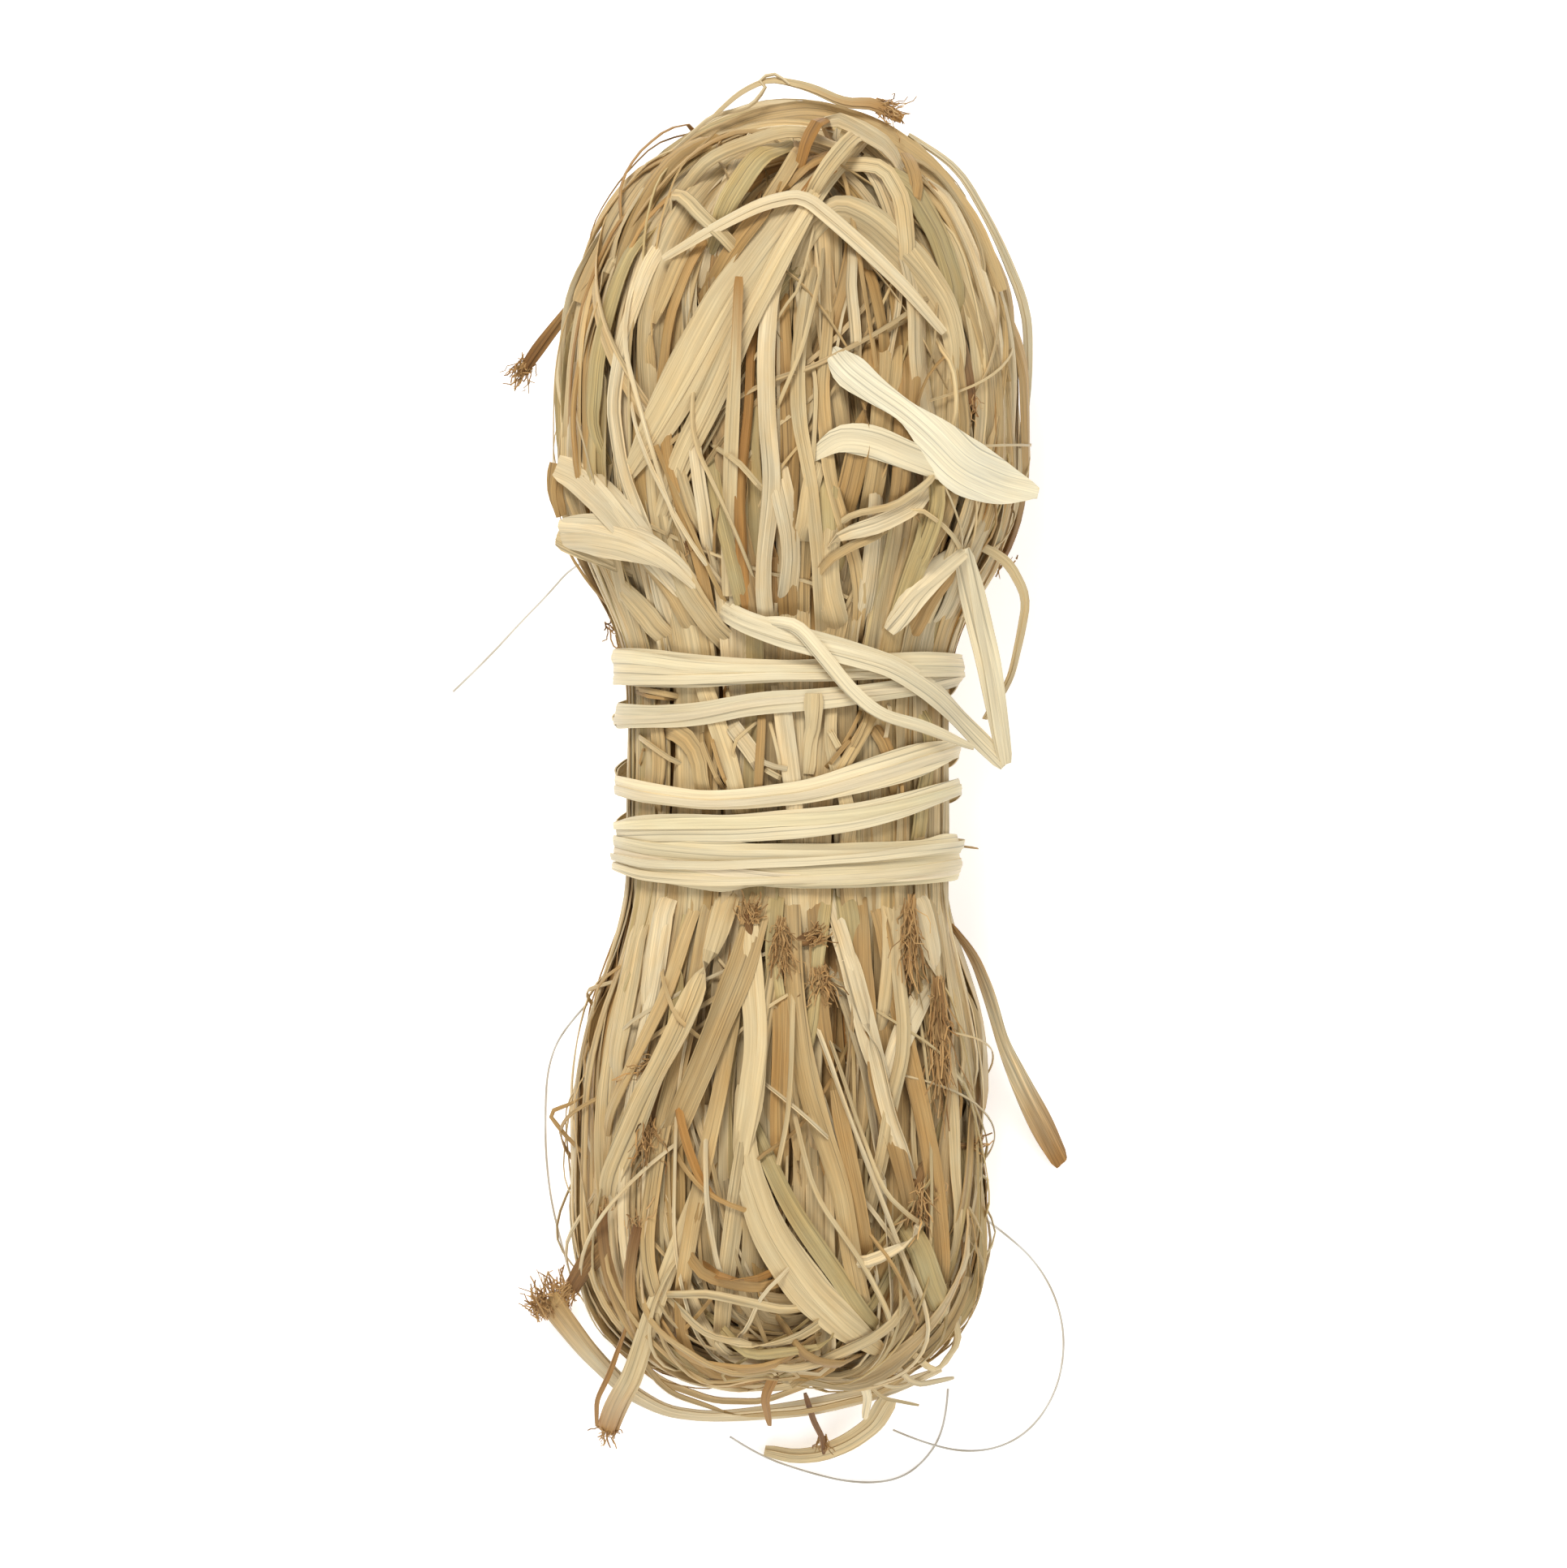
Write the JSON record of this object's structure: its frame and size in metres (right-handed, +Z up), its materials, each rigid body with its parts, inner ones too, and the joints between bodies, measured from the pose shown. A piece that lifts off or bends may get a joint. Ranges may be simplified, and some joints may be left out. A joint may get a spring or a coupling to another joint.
{
  "type": "raffia hank",
  "caption": "Hank of natural raffia strips wound in long nested loops and bound round the waist with turns of the same strip, lying flat.",
  "frame": {"origin": "on the surface the hank lies on, under the middle of its bounding box", "axes": "+Z up from that surface, +Y along the hank towards its rounded crown, +X across it to the right as seen from above"},
  "size_m": [0.1172, 0.2616, 0.059],
  "materials": {
    "raffia": "dry dull straw colour with fine parallel fibres",
    "binding_raffia": "pale cream, slightly silky",
    "strip_raffia": "pale straw with a soft sheen",
    "root_raffia": "brown, frayed, fibrous",
    "fibre_raffia": "thin pale fibre"
  },
  "bodies": {
    "root": {"underside_outer_loop_crown": "raffia", "underside_outer_loop_foot": "raffia", "underside_inner_loop_crown": "raffia", "underside_inner_loop_foot": "raffia", "lower_outer_loop_crown": "raffia", "lower_outer_loop_foot": "raffia", "lower_inner_loop_crown": "raffia", "lower_inner_loop_foot": "raffia", "upper_outer_loop_crown": "raffia", "upper_outer_loop_foot": "raffia", "upper_inner_loop_crown": "raffia", "upper_inner_loop_foot": "raffia", "face_outer_loop_crown": "raffia", "face_outer_loop_foot": "raffia", "face_inner_loop_crown": "raffia", "face_inner_loop_foot": "raffia", "underside_core": "raffia", "lower_core": "raffia", "upper_core": "raffia", "face_core": "raffia", "binding_turn_1": "binding_raffia", "binding_turn_2": "binding_raffia", "binding_turn_3": "binding_raffia", "binding_turn_4": "binding_raffia", "binding_turn_5": "binding_raffia", "binding_turn_6": "binding_raffia", "binding_tail": "binding_raffia", "kinked_tail": "binding_raffia", "tucked_stub": "strip_raffia", "twisted_wide_strip": "strip_raffia", "folded_strip_high": "strip_raffia", "folded_strip_low": "strip_raffia", "wide_diagonal_strip": "strip_raffia", "second_diagonal_strip": "strip_raffia", "crossing_strip": "strip_raffia", "inner_arch_strip": "strip_raffia", "centre_strip": "strip_raffia", "root_strip": "strip_raffia", "bent_diagonal_strip": "strip_raffia", "looped_strip": "strip_raffia", "crown_strip": "strip_raffia", "crown_loop_strip": "strip_raffia", "right_loose_strip": "strip_raffia", "right_hanging_strip": "strip_raffia", "bottom_root_strip": "strip_raffia", "forked_strip": "strip_raffia", "bottom_loose_strip": "strip_raffia", "brown_end_left": "root_raffia", "brown_tail_right": "root_raffia", "dark_root_tip": "root_raffia", "root_tufts": "root_raffia", "stray_fibre_left": "fibre_raffia", "stray_fibre_foot_left": "fibre_raffia", "stray_fibre_foot_right": "fibre_raffia", "stray_fibre_foot": "fibre_raffia"}
  },
  "joints": []
}
